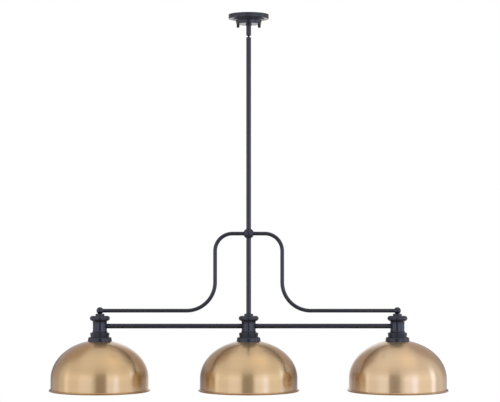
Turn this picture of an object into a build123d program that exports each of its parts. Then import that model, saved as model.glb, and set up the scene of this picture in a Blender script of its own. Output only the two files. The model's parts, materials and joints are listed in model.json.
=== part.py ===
from build123d import *
import math
import os

# Billiard light: three dome shades on columns, carried by cross bars, braced by two S-bent arms,
# hung from the ceiling on a rod with a swivel. Millimetres, +Z up, X along the bars,
# origin where the canopy's axis meets the ceiling.

# Fits and shared stock
thread_gap = 0.05  # radial room in a screwed joint
slip_gap = 0.15  # radial room where one piece slips into another
tube_radius = 7.94  # rods, centre stem and cross bars, 5/8 in tube
nipple_radius = 5.1  # 1/8 pipe thread
nipple_bore = 3.6
nipple_reach = 14.0  # how far a nipple screws into a tube
nut_flats = 14.0  # hex nut for the 1/8 pipe thread
nut_thickness = 3.6
thread_proud = 1.2  # nipple's end standing out of its nut
seam_chamfer = 0.4  # eased edge where tubes butt

# Crossbar on the outlet box
crossbar_width = 20.0
crossbar_thickness = 2.2
crossbar_end = 5.0  # metal past each slot
crossbar_centre_hole = 5.2
box_slot_offset = 9.525  # slot centre outboard of the stud
box_slot_length = 11.0
box_slot_width = 4.8
stud_spacing = 69.85
stud_radius = 2.08
stud_nut_flats = 8.7
stud_nut_thickness = 3.2
ground_screw_offset = 18.0
ground_screw_head_radius = 4.2
ground_screw_head = 2.4
ground_screw_edge = 0.6

# Canopy, a stepped dish spun from sheet
canopy_wall = 1.2
canopy_depth = 31.4
canopy_rim_height = 14.6
canopy_step_height = 3.6  # second tier, below the rim
canopy_foot_margin = 5.4  # flat foot outside the thumb nut's centre
canopy_cove_width = 3.2  # taper of the foot's side
canopy_step_width = 8.0
canopy_brim_width = 14.8
canopy_edge = 2.2  # rounding of the rolled edges
canopy_corner = 1.1  # hollow rounding between brim and second tier
canopy_cove = 4.0  # hollow rounding above the foot

# Thumb nuts that clamp the canopy
thumb_washer_radius = 5.0
thumb_washer_thickness = 0.9
thumb_nut_radius = 4.6
thumb_nut_length = 10.6
thumb_nut_cap = 2.0  # closed end
thumb_nut_edge = 0.7
stud_engagement = 7.6  # stud inside its thumb nut

# Swivel that lets the light hang plumb
swivel_tilt = 20.0  # each way, about each of two axes
swivel_ball_radius = 6.0
swivel_ball_gap = 0.1
swivel_neck_radius = 2.9
swivel_bore = 2.0
swivel_wall = 1.95
swivel_lip = 1.0
swivel_drop = 34.2  # canopy foot to the ball's centre
swivel_flange_radius = 9.5
swivel_flange_height = 3.0
swivel_flange_slope = 1.5  # coned underside of the flange
swivel_nose = 0.33  # share of the drop to the mouth where the housing starts to round in
swivel_nipple_bore = 4.2
swivel_nipple_reach = 15.0
swivel_nut_flats = 17.0
swivel_nut_thickness = 4.5
swivel_washer_radius = 10.4
swivel_washer_thickness = 1.0
stop_pin_radius = 1.0
stop_pin_depth = 2.8  # seated in the ball
stop_pin_proud = 0.85  # standing out of the ball
collar_gap = 0.9  # neck left free between lip and collar at full tilt
collar_height = 9.2
collar_slope = 26.0  # coned top of the collar

# Rods and stem
rod_length = 312.8
stem_length = 249.4

# Hub ball where the arms leave the stem
hub_radius = 17.4
tube_seat_depth = 2.5

# S-bent brace arms
arm_radius = 6.35  # 1/2 in tube
arm_wall = 1.2
arm_offset = 110.0  # upright leg from the stem's axis
arm_upper_bend = 57.0
arm_lower_bend = 93.0
arm_plug = 10.0  # solid end inside the tube
arm_tenon_radius = 3.0
arm_tenon_length = 7.0
arm_spot_depth = 0.35

# Ball on top of each outer column
end_ball_radius = 11.6
end_ball_seat_radius = 6.0
end_ball_thread = 4.9

# Columns
lamp_spacing = 487.0
cap_collar_radius = 14.6
cap_collar_height = 6.8
cap_flange_radius = 32.8
cap_flange_height = 16.6
cap_bullnose = 0.48  # share of the flange's height rounded at each edge
cap_collar_edge = 1.9
cap_collar_cove = 1.5
cap_web = 3.6
body_radius = 23.1
body_wall = 3.2
body_height = 39.4
body_flare = 6.4  # foot's spread outside the body
body_flare_height = 7.6
body_flare_edge = 1.0
body_crown = 3.0  # crown's spread outside the body
body_crown_height = 5.0
body_bead_radius = 0.8
body_bead_drop = 6.0  # bead's centre below the body's top
bar_height = 22.4  # bar's centre above the body's foot
bar_spot_depth = 0.15
base_ring_radius = 32.2
base_ring_height = 13.3
base_ring_edge = 1.4
base_ring_taper = 1.9  # ring narrows to a waist above the cup
base_groove = 0.9  # hollow rounding between ring and cup
base_cup_height = 14.0
base_shoulder = 5.2  # cup's step outside the ring
base_shoulder_round = 0.85  # share of that step that is rounded
base_lip_flare = 2.2
base_lip_edge = 0.8
base_roof = 6.6  # metal over the hollow of the cup
base_wall = 3.4
base_web = 5.0
spigot_height = 2.4
spigot_wall = 3.0
wire_window_length = 14.0
wire_window_width = 4.6

# Lampholders
lampholder_radius = 19.8
lampholder_length = 44.0  # below its shoulder
lampholder_shoulder = 7.0
lampholder_boss_radius = 9.0
lampholder_boss_height = 8.0
lampholder_thread = 8.0  # nipple inside the boss
shell_radius = 13.3  # inside of the screw shell
shell_wall = 0.6
shell_length = 24.0
shell_recess = 2.0  # mouth of the shell above the holder's rim
shell_corner = 1.6  # coned corner at the back of the shell
shell_hole = 7.0
contact_radius = 4.0
contact_thickness = 1.6
contact_edge = 0.8
ring_radius = 27.0
ring_flange = 2.0
ring_collar_wall = 2.6
ring_height = 7.0

# Dome shades
shade_wall = 1.0
shade_radius = 160.0
shade_dome_height = 125.4  # full height of the elliptical dome
shade_seat_radius = 40.6
shade_skirt = 38.4  # straight wall below the dome
shade_bead_radius = 3.4

# Levels worked out from the pieces above, from the ceiling down
foot_z = -canopy_depth
swivel_z = foot_z - swivel_drop
full_tilt = math.degrees(math.acos(math.cos(math.radians(swivel_tilt)) ** 2))
seat_radius = swivel_ball_radius + swivel_ball_gap
neck_room = swivel_neck_radius + swivel_ball_gap
lip_angle = full_tilt + math.degrees(math.asin(neck_room / seat_radius))
lip_reach = math.sqrt(seat_radius**2 - neck_room**2) + swivel_lip
collar_z = swivel_z - lip_reach - collar_gap
rod_top_z = collar_z - collar_height
rod_joint_z = rod_top_z - rod_length
hub_top_z = rod_joint_z - rod_length
hub_seat = math.sqrt(hub_radius**2 - tube_radius**2) - tube_seat_depth
hub_z = hub_top_z - hub_seat
stem_top_z = hub_z - hub_seat
column_top_z = stem_top_z - stem_length
flange_top_z = column_top_z - cap_collar_height
body_top_z = flange_top_z - cap_flange_height
base_top_z = body_top_z - body_height
ring_bottom_z = base_top_z - base_ring_height
shade_top_z = ring_bottom_z - base_cup_height
bar_z = base_top_z + bar_height
web_z = base_top_z - base_web
holder_top_z = web_z - nut_thickness
end_ball_seat = math.sqrt(end_ball_radius**2 - end_ball_seat_radius**2)
rail_z = column_top_z + end_ball_seat

# Radii and reaches that several pieces share
tube_bore = nipple_radius + thread_gap
nipple_hole = nipple_radius + slip_gap
stud_hole = stud_radius + thread_gap
housing_radius = seat_radius + swivel_wall
swivel_nipple_radius = seat_radius - thread_gap
swivel_hole = swivel_nipple_radius + slip_gap
foot_radius = stud_spacing / 2 + canopy_foot_margin
box_spacing = stud_spacing + 2 * box_slot_offset
body_bore = body_radius - body_wall
spigot_radius = body_bore - slip_gap
bar_seat = math.sqrt(body_radius**2 - tube_radius**2) - bar_spot_depth
hub_arm_seat = math.sqrt(hub_radius**2 - arm_radius**2) - arm_spot_depth
ball_arm_seat = math.sqrt(end_ball_radius**2 - arm_radius**2) - arm_spot_depth
shade_hole = lampholder_radius + slip_gap
stations = {"left": -lamp_spacing, "centre": 0.0, "right": lamp_spacing}
sides = {"left": -1, "right": 1}

os.makedirs("parts", exist_ok=True)


def save(piece, name):
    piece.part.label = name
    export_step(piece.part, f"parts/{name}.step")


def turning(x=0.0):
    """Plane of a turned profile about the upright axis at x: radius across, height up."""
    return Plane(origin=(x, 0, 0), x_dir=(1, 0, 0), z_dir=(0, -1, 0))


def upright(x=0.0):
    return Axis((x, 0, 0), (0, 0, 1))


def across(x, z, sign):
    """Plane square to the X axis at x and z, facing outward on that side."""
    return Plane(origin=(x, 0, z), x_dir=(0, 1, 0), z_dir=(sign, 0, 0))


def tube(radius, bore, top, bottom, x=0.0):
    with BuildPart() as piece:
        with BuildSketch(Plane(origin=(x, 0, bottom))):
            Circle(radius)
            Circle(bore, mode=Mode.SUBTRACT)
        extrude(amount=top - bottom)
    return piece


def rod(top, bottom):
    """Tube stock with its outer end edges eased, so that butted tubes show a fine seam."""
    with BuildPart() as piece:
        with BuildSketch(Plane(origin=(0, 0, bottom))):
            Circle(tube_radius)
            Circle(tube_bore, mode=Mode.SUBTRACT)
        extrude(amount=top - bottom)
        ends = piece.edges().filter_by(GeomType.CIRCLE).group_by(SortBy.RADIUS)[-1]
        chamfer(ends, length=seam_chamfer)
    return piece


# Crossbar: a steel strap with two slots for the box screws and two tapped holes for the studs
with BuildPart() as crossbar:
    with BuildSketch():
        RectangleRounded(box_spacing + box_slot_length + 2 * crossbar_end, crossbar_width, crossbar_end)
        Circle(crossbar_centre_hole, mode=Mode.SUBTRACT)
        with GridLocations(box_spacing, 0, 2, 1):
            SlotOverall(box_slot_length, box_slot_width, mode=Mode.SUBTRACT)
        with GridLocations(stud_spacing, 0, 2, 1):
            Circle(stud_hole, mode=Mode.SUBTRACT)
        with Locations((ground_screw_offset, 0)):
            Circle(stud_hole, mode=Mode.SUBTRACT)
    extrude(amount=-crossbar_thickness)
save(crossbar, "crossbar")

with BuildPart() as ground_screw:
    with BuildSketch():
        with Locations((ground_screw_offset, 0)):
            Circle(stud_radius)
    extrude(amount=-crossbar_thickness)
    with BuildSketch(Plane.XY.offset(-crossbar_thickness)):
        with Locations((ground_screw_offset, 0)):
            Circle(ground_screw_head_radius)
    extrude(amount=-ground_screw_head)
    chamfer(ground_screw.faces().sort_by(Axis.Z)[0].edges(), length=ground_screw_edge)
save(ground_screw, "ground_screw")

# Two studs hang from the crossbar, each locked by a hex nut, and reach into the thumb nuts
stud_end_z = foot_z - thumb_washer_thickness - stud_engagement
with BuildPart() as canopy_studs:
    with BuildSketch():
        with GridLocations(stud_spacing, 0, 2, 1):
            Circle(stud_radius)
    extrude(amount=stud_end_z)
save(canopy_studs, "canopy_studs")

with BuildPart() as stud_nuts:
    with BuildSketch(Plane.XY.offset(-crossbar_thickness)):
        with GridLocations(stud_spacing, 0, 2, 1):
            RegularPolygon(stud_nut_flats / 2, 6, major_radius=False)
            Circle(stud_hole, mode=Mode.SUBTRACT)
    extrude(amount=-stud_nut_thickness)
save(stud_nuts, "stud_nuts")


def dish_line(inset):
    """Half outline of the canopy's sheet, from the rim at the ceiling to the hole in the foot."""
    foot = foot_radius - inset
    neck = foot + canopy_cove_width
    step = neck + canopy_step_width
    rim = step + canopy_brim_width
    points = [
        (rim, 0),
        (rim, -canopy_rim_height + inset),
        (step, -canopy_rim_height + inset),
        (step, -canopy_rim_height - canopy_step_height + inset),
        (neck, -canopy_rim_height - canopy_step_height + inset),
        (foot, foot_z + inset),
        (swivel_hole, foot_z + inset),
    ]
    outer_edge = canopy_edge - inset
    inner_edge = canopy_corner + inset
    bends = [outer_edge, inner_edge, outer_edge, canopy_cove + inset, outer_edge]
    return FilletPolyline(*points, radius=bends)


with BuildPart() as canopy:
    with BuildSketch(turning()):
        with BuildLine():
            skin = dish_line(0)
            lining = dish_line(canopy_wall)
            Line(skin @ 0, lining @ 0)
            Line(skin @ 1, lining @ 1)
        make_face()
    revolve(axis=upright())
    with Locations(Plane.XY.offset(foot_z)):
        with GridLocations(stud_spacing, 0, 2, 1):
            Hole(stud_radius + slip_gap, depth=2 * canopy_wall)
save(canopy, "canopy")

# Thumb nuts: a washer and a closed barrel nut at each stud
washer_bottom_z = foot_z - thumb_washer_thickness
nut_bottom_z = washer_bottom_z - thumb_nut_length
for side, sign in sides.items():
    stud_x = sign * stud_spacing / 2
    save(tube(thumb_washer_radius, stud_radius + slip_gap, foot_z, washer_bottom_z, stud_x),
         f"canopy_washer_{side}")
    with BuildPart() as thumb_nut:
        with BuildSketch(Plane(origin=(stud_x, 0, nut_bottom_z))):
            Circle(thumb_nut_radius)
        extrude(amount=thumb_nut_length)
        fillet(thumb_nut.edges().filter_by(GeomType.CIRCLE), radius=thumb_nut_edge)
        with Locations((stud_x, 0, washer_bottom_z)):
            Hole(stud_hole, depth=thumb_nut_length - thumb_nut_cap)
    save(thumb_nut, f"canopy_nut_{side}")

# Swivel housing: bored through, with a round seat that holds the ball and a flared mouth for its neck
lip = (seat_radius * math.sin(math.radians(lip_angle)),
       swivel_z - seat_radius * math.cos(math.radians(lip_angle)))
mouth = (lip_reach * math.sin(math.radians(full_tilt)) + neck_room * math.cos(math.radians(full_tilt)),
         swivel_z - lip_reach * math.cos(math.radians(full_tilt))
         + neck_room * math.sin(math.radians(full_tilt)))
nose_z = swivel_z - swivel_nose * (swivel_z - mouth[1])
flange_bottom_z = foot_z - swivel_flange_height
pin_tip = swivel_ball_radius + stop_pin_proud
groove_radius = pin_tip + slip_gap
groove_length = 2 * (pin_tip * math.sin(math.radians(swivel_tilt)) + stop_pin_radius + 2 * slip_gap)
with BuildPart() as swivel_housing:
    with BuildSketch(turning()):
        with BuildLine():
            Polyline((seat_radius, swivel_z), (seat_radius, foot_z), (swivel_flange_radius, foot_z),
                     (swivel_flange_radius, flange_bottom_z),
                     (housing_radius, flange_bottom_z - swivel_flange_slope), (housing_radius, nose_z))
            TangentArc((housing_radius, nose_z), mouth, tangent=(0, -1))
            Line(mouth, lip)
            CenterArc((0, swivel_z), seat_radius, lip_angle - 90, 90 - lip_angle)
        make_face()
    revolve(axis=upright())
    with BuildSketch(Plane.YZ):
        with Locations((0, swivel_z)):
            SlotOverall(groove_length, 2 * (stop_pin_radius + slip_gap), rotation=90)
    extrude(amount=groove_radius, both=True, mode=Mode.SUBTRACT)
save(swivel_housing, "swivel_housing")

canopy_inside_z = foot_z + canopy_wall
washer_top_z = canopy_inside_z + swivel_washer_thickness
swivel_nut_top_z = washer_top_z + swivel_nut_thickness
save(tube(swivel_washer_radius, swivel_hole, washer_top_z, canopy_inside_z), "swivel_washer")
swivel_nipple_top_z = swivel_nut_top_z + thread_proud
swivel_nipple_end_z = foot_z - swivel_nipple_reach
save(tube(swivel_nipple_radius, swivel_nipple_bore, swivel_nipple_top_z, swivel_nipple_end_z), "swivel_nipple")

with BuildPart() as swivel_nut:
    with BuildSketch(Plane.XY.offset(washer_top_z)):
        RegularPolygon(swivel_nut_flats / 2, 6, major_radius=False)
        Circle(swivel_nipple_radius + thread_gap, mode=Mode.SUBTRACT)
    extrude(amount=swivel_nut_thickness)
save(swivel_nut, "swivel_nut")

# Stop pins: two stubs that ride in the housing's grooves and keep the light from twisting
pin_root = swivel_ball_radius - stop_pin_depth
with BuildPart() as swivel_stop_pins:
    for sign in sides.values():
        with BuildSketch(across(sign * pin_root, swivel_z, sign)):
            Circle(stop_pin_radius)
        extrude(amount=pin_tip - pin_root)
save(swivel_stop_pins, "swivel_stop_pins")

# Swivel ball: ball, neck and threaded shank turned in one, bored for the wires
cone_drop = (nipple_radius - swivel_neck_radius) * math.tan(math.radians(collar_slope))
neck_drop = math.sqrt(swivel_ball_radius**2 - swivel_neck_radius**2)
bore_drop = math.sqrt(swivel_ball_radius**2 - swivel_bore**2)
shank_bottom_z = rod_top_z - nipple_reach
with BuildPart() as swivel_ball:
    with BuildSketch(turning()):
        with BuildLine():
            ball = ThreePointArc((swivel_bore, swivel_z + bore_drop), (swivel_ball_radius, swivel_z),
                                 (swivel_neck_radius, swivel_z - neck_drop))
            Polyline(ball @ 1, (swivel_neck_radius, collar_z), (nipple_radius, collar_z - cone_drop),
                     (nipple_radius, shank_bottom_z), (swivel_bore, shank_bottom_z), ball @ 0)
        make_face()
    revolve(axis=upright())
    for sign in sides.values():
        with BuildSketch(across(sign * (pin_root - slip_gap), swivel_z, sign)):
            Circle(stop_pin_radius + thread_gap)
        extrude(amount=swivel_ball_radius, mode=Mode.SUBTRACT)
save(swivel_ball, "swivel_ball")

collar_slant = math.tan(math.radians(collar_slope))
with BuildPart() as swivel_collar:
    with BuildSketch(turning()):
        with BuildLine():
            Polyline((tube_bore, collar_z - (tube_bore - swivel_neck_radius) * collar_slant),
                     (tube_radius, collar_z - (tube_radius - swivel_neck_radius) * collar_slant),
                     (tube_radius, rod_top_z), (tube_bore, rod_top_z), close=True)
        make_face()
    revolve(axis=upright())
save(swivel_collar, "swivel_collar")

# Rods, stem and the nipples inside them
save(rod(rod_top_z, rod_joint_z), "upper_rod")
save(rod(rod_joint_z, hub_top_z), "lower_rod")
save(rod(stem_top_z, column_top_z), "centre_stem")
save(tube(nipple_radius, nipple_bore, rod_joint_z + nipple_reach, rod_joint_z - nipple_reach), "rod_coupler")
save(tube(nipple_radius, nipple_bore, hub_top_z + nipple_reach, stem_top_z - nipple_reach), "hub_nipple")

# Hub ball: bored through for its nipple, seated for the tubes, tapped on both sides for the arms
with BuildPart() as hub_ball:
    with Locations((0, 0, hub_z)):
        Sphere(hub_radius)
    with Locations((0, 0, hub_z + hub_radius)):
        Hole(nipple_radius + thread_gap, depth=2 * hub_radius)
    for plane in (Plane(origin=(0, 0, hub_top_z)), Plane(origin=(0, 0, stem_top_z), z_dir=(0, 0, -1))):
        with BuildSketch(plane):
            Circle(tube_radius + slip_gap)
        extrude(amount=hub_radius, mode=Mode.SUBTRACT)
    for sign in sides.values():
        with BuildSketch(across(sign * hub_arm_seat, hub_z, sign)):
            Circle(arm_radius + slip_gap)
        extrude(amount=hub_radius, mode=Mode.SUBTRACT)
        with BuildSketch(across(sign * hub_arm_seat, hub_z, -sign)):
            Circle(arm_tenon_radius + thread_gap)
        extrude(amount=arm_tenon_length + slip_gap, mode=Mode.SUBTRACT)
save(hub_ball, "hub_ball")

# Brace arms: bent tube with plugged ends, a threaded tenon in the hub and one in the end ball
for side, sign in sides.items():
    hub_end = sign * hub_arm_seat
    ball_end = sign * (lamp_spacing - ball_arm_seat)
    with BuildPart() as brace_arm:
        with BuildLine(Plane.XZ) as route:
            FilletPolyline((hub_end, hub_z), (sign * arm_offset, hub_z), (sign * arm_offset, rail_z),
                           (ball_end, rail_z), radius=[arm_upper_bend, arm_lower_bend])
        with BuildSketch(across(hub_end, hub_z, sign)):
            Circle(arm_radius)
            Circle(arm_radius - arm_wall, mode=Mode.SUBTRACT)
        sweep(path=route.wire())
        for x, z, outward in ((hub_end, hub_z, -sign), (ball_end, rail_z, sign)):
            with BuildSketch(across(x, z, -outward)):
                Circle(arm_radius)
            extrude(amount=arm_plug)
            with BuildSketch(across(x, z, outward)):
                Circle(arm_tenon_radius)
            extrude(amount=arm_tenon_length)
    save(brace_arm, f"brace_arm_{side}")

# End balls: flat underneath, tapped for the column's nipple and for the arm
for side, sign in sides.items():
    ball_x = sign * lamp_spacing
    with BuildPart() as end_ball:
        with Locations((ball_x, 0, rail_z)):
            Sphere(end_ball_radius)
        split(bisect_by=Plane(origin=(0, 0, column_top_z)), keep=Keep.TOP)
        with BuildSketch(Plane(origin=(ball_x, 0, column_top_z))):
            Circle(nipple_radius + thread_gap)
        extrude(amount=end_ball_thread + slip_gap, mode=Mode.SUBTRACT)
        arm_x = sign * (lamp_spacing - ball_arm_seat)
        with BuildSketch(across(arm_x, rail_z, -sign)):
            Circle(arm_radius + slip_gap)
        extrude(amount=end_ball_radius, mode=Mode.SUBTRACT)
        with BuildSketch(across(arm_x, rail_z, sign)):
            Circle(arm_tenon_radius + thread_gap)
        extrude(amount=arm_tenon_length + slip_gap, mode=Mode.SUBTRACT)
    save(end_ball, f"end_ball_{side}")

# Cross bars between the columns, each held at both ends by a nipple and a hex nut inside the column
bar_ends = [(0.0, -1), (0.0, 1), (-lamp_spacing, 1), (lamp_spacing, -1)]
bar_nut_face = math.sqrt(body_bore**2 - (nut_flats / math.sqrt(3)) ** 2) - thread_gap
for side, sign in sides.items():
    with BuildPart() as cross_bar:
        with BuildSketch(across(sign * bar_seat, bar_z, sign)):
            Circle(tube_radius)
            Circle(tube_bore, mode=Mode.SUBTRACT)
        extrude(amount=lamp_spacing - 2 * bar_seat)
    save(cross_bar, f"cross_bar_{side}")

with BuildPart() as bar_nipples:
    for column_x, sign in bar_ends:
        inner_end = bar_nut_face - nut_thickness - thread_proud
        with BuildSketch(across(column_x + sign * inner_end, bar_z, sign)):
            Circle(nipple_radius)
            Circle(nipple_bore, mode=Mode.SUBTRACT)
        extrude(amount=bar_seat + nipple_reach - inner_end)
save(bar_nipples, "bar_nipples")

with BuildPart() as bar_nuts:
    for column_x, sign in bar_ends:
        with BuildSketch(across(column_x + sign * bar_nut_face, bar_z, -sign)):
            RegularPolygon(nut_flats / 2, 6, major_radius=False)
            Circle(nipple_radius + thread_gap, mode=Mode.SUBTRACT)
        extrude(amount=nut_thickness)
save(bar_nuts, "bar_nuts")


def column_cap(x):
    """Cast cap: a small collar on a bull-nosed flange, hollow below, with a spigot for the body."""
    bullnose = cap_bullnose * cap_flange_height
    hollow = spigot_radius - spigot_wall
    with BuildPart() as cap:
        with BuildSketch(turning(x)):
            with BuildLine():
                outline = FilletPolyline(
                    (nipple_hole, column_top_z), (cap_collar_radius, column_top_z),
                    (cap_collar_radius, flange_top_z), (cap_flange_radius, flange_top_z),
                    (cap_flange_radius, body_top_z), (spigot_radius, body_top_z),
                    radius=[cap_collar_edge, cap_collar_cove, bullnose, bullnose])
                Polyline(outline @ 1, (spigot_radius, body_top_z - spigot_height),
                         (hollow, body_top_z - spigot_height), (hollow, flange_top_z - cap_web),
                         (nipple_hole, flange_top_z - cap_web), outline @ 0)
            make_face()
        revolve(axis=upright(x))
    return cap


def column_body(x, bar_signs):
    """Turned tube: a flared foot, a bead under a coved crown, and a seat and hole for each bar."""
    foot = body_radius + body_flare
    crown = body_radius + body_crown
    foot_edge_z = base_top_z + body_flare_edge
    flare_z = foot_edge_z + body_flare_height
    cove_z = body_top_z - body_crown_height
    bead_z = body_top_z - body_bead_drop
    with BuildPart() as body:
        with BuildSketch(turning(x)):
            with BuildLine():
                Polyline((body_bore, base_top_z), (foot, base_top_z), (foot, foot_edge_z))
                EllipticalCenterArc((foot, flare_z), body_flare, body_flare_height,
                                    start_angle=180, arc_size=90)
                Line((body_radius, flare_z), (body_radius, bead_z - body_bead_radius))
                CenterArc((body_radius, bead_z), body_bead_radius, -90, 180)
                Line((body_radius, bead_z + body_bead_radius), (body_radius, cove_z))
                EllipticalCenterArc((crown, cove_z), body_crown, body_crown_height,
                                    start_angle=90, arc_size=90)
                Polyline((crown, body_top_z), (body_bore, body_top_z), (body_bore, base_top_z))
            make_face()
        revolve(axis=upright(x))
        for sign in bar_signs:
            with BuildSketch(across(x + sign * bar_seat, bar_z, sign)):
                Circle(tube_radius + slip_gap)
            extrude(amount=body_wall, mode=Mode.SUBTRACT)
            with BuildSketch(across(x + sign * bar_seat, bar_z, -sign)):
                Circle(nipple_hole)
            extrude(amount=body_wall, mode=Mode.SUBTRACT)
    return body


def column_base(x):
    """Cast base: a spigot and a waisted ring above a round-shouldered cup that stands on the shade."""
    cup = base_ring_radius + base_shoulder
    waist = base_ring_radius - base_ring_taper
    hollow = waist - base_wall
    cup_hollow = cup - base_wall
    cup_roof_z = ring_bottom_z - base_roof
    with BuildPart() as base:
        with BuildSketch(turning(x)):
            with BuildLine():
                side = FilletPolyline(
                    (spigot_radius, base_top_z), (base_ring_radius, base_top_z),
                    (waist, ring_bottom_z), (cup, ring_bottom_z),
                    (cup + base_lip_flare, shade_top_z), (cup_hollow, shade_top_z),
                    radius=[base_ring_edge, base_groove, base_shoulder_round * base_shoulder, base_lip_edge])
                Polyline(side @ 1, (cup_hollow, cup_roof_z), (hollow, cup_roof_z), (hollow, web_z),
                         (nipple_hole, web_z), (nipple_hole, base_top_z),
                         (spigot_radius - spigot_wall, base_top_z),
                         (spigot_radius - spigot_wall, base_top_z + spigot_height),
                         (spigot_radius, base_top_z + spigot_height), side @ 0)
            make_face()
        revolve(axis=upright(x))
    return base


def column_nipple(x, top):
    """Hollow tie through the whole column, with a window where the bar's wires turn down."""
    with BuildPart() as nipple:
        bottom = holder_top_z - lampholder_thread
        with BuildSketch(Plane(origin=(x, 0, bottom))):
            Circle(nipple_radius)
            Circle(nipple_bore, mode=Mode.SUBTRACT)
        extrude(amount=top - bottom)
        with BuildSketch(Plane(origin=(x, 0, bar_z), x_dir=(0, 1, 0), z_dir=(1, 0, 0))):
            SlotOverall(wire_window_length, wire_window_width, rotation=90)
        extrude(amount=nipple_radius, both=True, mode=Mode.SUBTRACT)
    return nipple


# Lampholder levels
holder_shoulder_z = holder_top_z - lampholder_boss_height
holder_body_z = holder_shoulder_z - lampholder_shoulder
holder_rim_z = holder_body_z - lampholder_length
shell_mouth_z = holder_rim_z + shell_recess
shell_top_z = shell_mouth_z + shell_length
shell_outer = shell_radius + shell_wall


def lampholder(x):
    """Porcelain holder: a tapped boss, a coned shoulder and a threaded barrel round the screw shell."""
    with BuildPart() as holder:
        with BuildSketch(turning(x)):
            with BuildLine():
                Polyline((0, holder_top_z - lampholder_thread), (tube_bore, holder_top_z - lampholder_thread),
                         (tube_bore, holder_top_z), (lampholder_boss_radius, holder_top_z),
                         (lampholder_boss_radius, holder_shoulder_z), (lampholder_radius, holder_body_z),
                         (lampholder_radius, holder_rim_z), (shell_outer + thread_gap, holder_rim_z),
                         (shell_outer + thread_gap, shell_top_z), (0, shell_top_z), close=True)
            make_face()
        revolve(axis=upright(x))
    return holder


def screw_shell(x):
    """Thin brass cup with a coned corner at its back, open in the middle for the contact."""
    shell_back_z = shell_top_z - shell_wall
    with BuildPart() as shell:
        with BuildSketch(turning(x)):
            with BuildLine():
                Polyline((shell_radius, shell_mouth_z), (shell_outer, shell_mouth_z),
                         (shell_outer, shell_back_z - shell_corner + shell_wall),
                         (shell_outer - shell_corner, shell_top_z), (shell_hole, shell_top_z),
                         (shell_hole, shell_back_z), (shell_radius - shell_corner, shell_back_z),
                         (shell_radius, shell_back_z - shell_corner), close=True)
            make_face()
        revolve(axis=upright(x))
    return shell


def centre_contact(x):
    with BuildPart() as contact:
        with BuildSketch(Plane(origin=(x, 0, shell_top_z))):
            Circle(contact_radius)
        extrude(amount=-contact_thickness)
        fillet(contact.faces().sort_by(Axis.Z)[0].edges(), radius=contact_edge)
    return contact


def shade_ring(x):
    """Ring screwed up the lampholder's barrel to clamp the shade against the column's base."""
    top = shade_top_z - shade_wall
    bore = lampholder_radius + thread_gap
    with BuildPart() as ring:
        with BuildSketch(turning(x)):
            with BuildLine():
                Polyline((bore, top), (ring_radius, top), (ring_radius, top - ring_flange),
                         (bore + ring_collar_wall, top - ring_flange),
                         (bore + ring_collar_wall, top - ring_height), (bore, top - ring_height), close=True)
            make_face()
        revolve(axis=upright(x))
    return ring


# Dome levels: the flat seat is where the ellipse reaches the seat's radius
dome_rise = shade_dome_height * math.sqrt(1 - (shade_seat_radius / shade_radius) ** 2)
dome_z = shade_top_z - dome_rise
rim_z = dome_z - shade_skirt
seat_angle = math.degrees(math.acos(shade_seat_radius / shade_radius))
inside_angle = math.degrees(math.asin((dome_rise - shade_wall) / (shade_dome_height - shade_wall)))


def shade(x):
    """Spun dome: flat seat, elliptical dome, straight skirt and a rolled bead at the rim."""
    inner_radius = shade_radius - shade_wall
    inner_height = shade_dome_height - shade_wall
    with BuildPart() as dome:
        with BuildSketch(turning(x)):
            with BuildLine():
                outside = EllipticalCenterArc((0, dome_z), shade_radius, shade_dome_height,
                                              start_angle=0, arc_size=seat_angle)
                inside = EllipticalCenterArc((0, dome_z), inner_radius, inner_height,
                                             start_angle=0, arc_size=inside_angle)
                Polyline(outside @ 1, (shade_hole, shade_top_z),
                         (shade_hole, shade_top_z - shade_wall), inside @ 1)
                Polyline(outside @ 0, (shade_radius, rim_z), (inner_radius, rim_z), inside @ 0)
            make_face()
            with Locations((inner_radius + shade_bead_radius, rim_z)):
                Circle(shade_bead_radius)
        revolve(axis=upright(x))
    return dome


for station, x in stations.items():
    bar_signs = [sign for column_x, sign in bar_ends if column_x == x]
    nipple_top = column_top_z + (nipple_reach if station == "centre" else end_ball_thread)
    save(column_cap(x), f"column_cap_{station}")
    save(column_body(x, bar_signs), f"column_body_{station}")
    save(column_base(x), f"column_base_{station}")
    save(column_nipple(x, nipple_top), f"column_nipple_{station}")
    save(lampholder(x), f"lampholder_{station}")
    save(screw_shell(x), f"screw_shell_{station}")
    save(centre_contact(x), f"centre_contact_{station}")
    save(shade_ring(x), f"shade_ring_{station}")
    save(shade(x), f"shade_{station}")

# Hex nuts that clamp each column onto its nipple
with BuildPart() as column_nuts:
    for x in stations.values():
        with BuildSketch(Plane(origin=(x, 0, web_z))):
            RegularPolygon(nut_flats / 2, 6, major_radius=False)
            Circle(nipple_radius + thread_gap, mode=Mode.SUBTRACT)
        extrude(amount=-nut_thickness)
save(column_nuts, "column_nuts")
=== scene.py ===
"""Billiard light: a black frame with three domed shades in brushed brass, seen in a pale studio."""
import json
import math

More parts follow.
